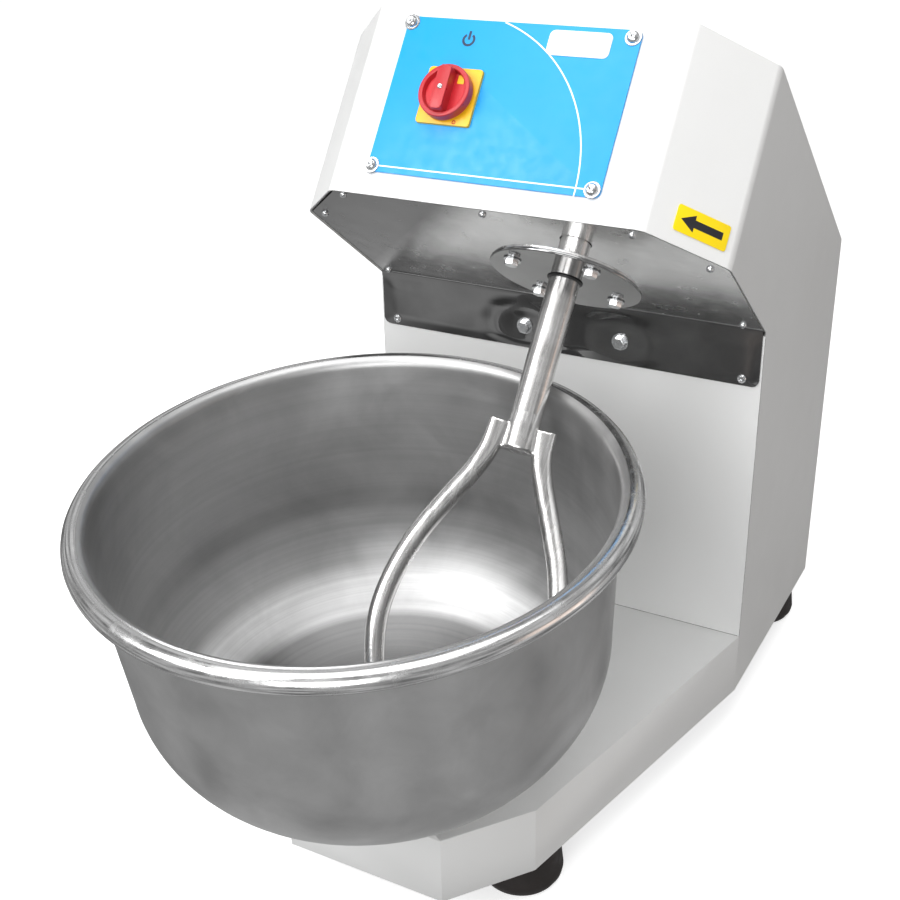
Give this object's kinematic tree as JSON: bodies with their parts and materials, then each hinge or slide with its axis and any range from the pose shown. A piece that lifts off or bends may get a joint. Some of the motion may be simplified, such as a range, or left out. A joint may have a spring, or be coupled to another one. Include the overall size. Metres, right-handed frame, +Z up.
{
  "type": "dough kneading machine",
  "caption": "Fork-type dough kneader: tilted stainless bowl turning on a narrow base, slanted two-tine fork under an overhanging head, rotary switch panel.",
  "frame": {"origin": "on the floor, under the middle of the bounding box", "axes": "+Z up, +Y towards the back of the column, bowl at -Y, +X to the right of someone facing the bowl's back"},
  "size_m": [0.4656, 0.9444, 0.7582],
  "materials": {
    "white_paint": "semi-gloss powder coat with a light orange peel",
    "mirror_steel": "polished stainless",
    "satin_steel": "spun satin stainless",
    "shaft_steel": "ground steel",
    "zinc_fastener": "bright zinc plate",
    "frame_steel": "dark primer",
    "cast_iron": "as cast",
    "gearmotor_paint": "satin enamel",
    "foot_rubber": "matt moulded",
    "black_plastic": "moulded",
    "panel_blue": "gloss film",
    "switch_yellow": "gloss",
    "switch_red": "gloss",
    "label_white": "gloss film"
  },
  "bodies": {
    "frame": {"left_side_panel": "white_paint", "right_side_panel": "white_paint", "left_frame_plate": "frame_steel", "right_frame_plate": "frame_steel", "head_front_cover": "white_paint", "head_top_cover": "white_paint", "rear_panel": "white_paint", "column_front_panel": "white_paint", "base_shell": "white_paint", "base_plate": "frame_steel", "soffit_splash_plate": "mirror_steel", "splash_bolt_left": "zinc_fastener", "splash_bolt_right": "zinc_fastener", "left_base_rail": "frame_steel", "right_base_rail": "frame_steel", "front_left_foot": "foot_rubber", "front_right_foot": "foot_rubber", "rear_left_foot": "foot_rubber", "rear_right_foot": "foot_rubber", "front_left_foot_bolt": "zinc_fastener", "front_right_foot_bolt": "zinc_fastener", "rear_left_foot_bolt": "zinc_fastener", "rear_right_foot_bolt": "zinc_fastener", "cable_gland": "black_plastic", "bowl_bearing_housing": "cast_iron", "bowl_bearing_upper": "shaft_steel", "bowl_bearing_lower": "shaft_steel", "spindle_bearing_plate": "frame_steel", "head_plate": "frame_steel", "agitator_bearing_housing": "cast_iron", "agitator_bearing_lower": "shaft_steel", "agitator_bearing_upper": "shaft_steel", "drive_belt": "foot_rubber", "gearbox": "gearmotor_paint", "motor": "gearmotor_paint", "motor_fan_cover": "gearmotor_paint", "control_panel": "panel_blue", "switch_plate": "switch_yellow", "switch_body": "black_plastic", "blank_label": "label_white", "direction_sticker": "switch_yellow"},
    "bowl": {"bowl_shell": "satin_steel", "bowl_rim": "mirror_steel", "bowl_hub": "cast_iron", "bowl_spindle": "shaft_steel", "spindle_nut": "zinc_fastener"},
    "agitator": {"agitator_fork": "satin_steel", "drive_shaft": "shaft_steel", "coupling_disc": "mirror_steel", "agitator_pulley": "cast_iron", "collar_ring": "foot_rubber", "coupling_bolt_1": "zinc_fastener", "coupling_bolt_2": "zinc_fastener", "coupling_bolt_3": "zinc_fastener", "coupling_bolt_4": "zinc_fastener"},
    "gearbox_output": {"drive_pulley": "cast_iron", "gearbox_output_shaft": "shaft_steel"},
    "switch": {"switch_knob": "switch_red"}
  },
  "joints": [
    {"name": "bowl_spin", "type": "hinge", "parent": "frame", "child": "bowl", "pos_m": [0, -0.24083, 0.43], "axis": [0, -0.1115, 0.9938], "continuous": true},
    {"name": "agitator_spin", "type": "hinge", "parent": "frame", "child": "agitator", "pos_m": [0.076, 0.02055, 0.57444], "axis": [0, 0.6157, 0.788], "continuous": true},
    {"name": "output_spin", "type": "hinge", "parent": "frame", "child": "gearbox_output", "pos_m": [0, 0.28926, 0.36449], "axis": [0, 0.6157, 0.788], "continuous": true},
    {"name": "switch_turn", "type": "hinge", "parent": "frame", "child": "switch", "pos_m": [-0.0546, 0.03589, 0.68737], "axis": [0, 0.809, -0.5878], "range_deg": [0, 90]}
  ],
  "couplings": [
    {"joint": "output_spin", "follows": "agitator_spin", "ratio": 2}
  ]
}
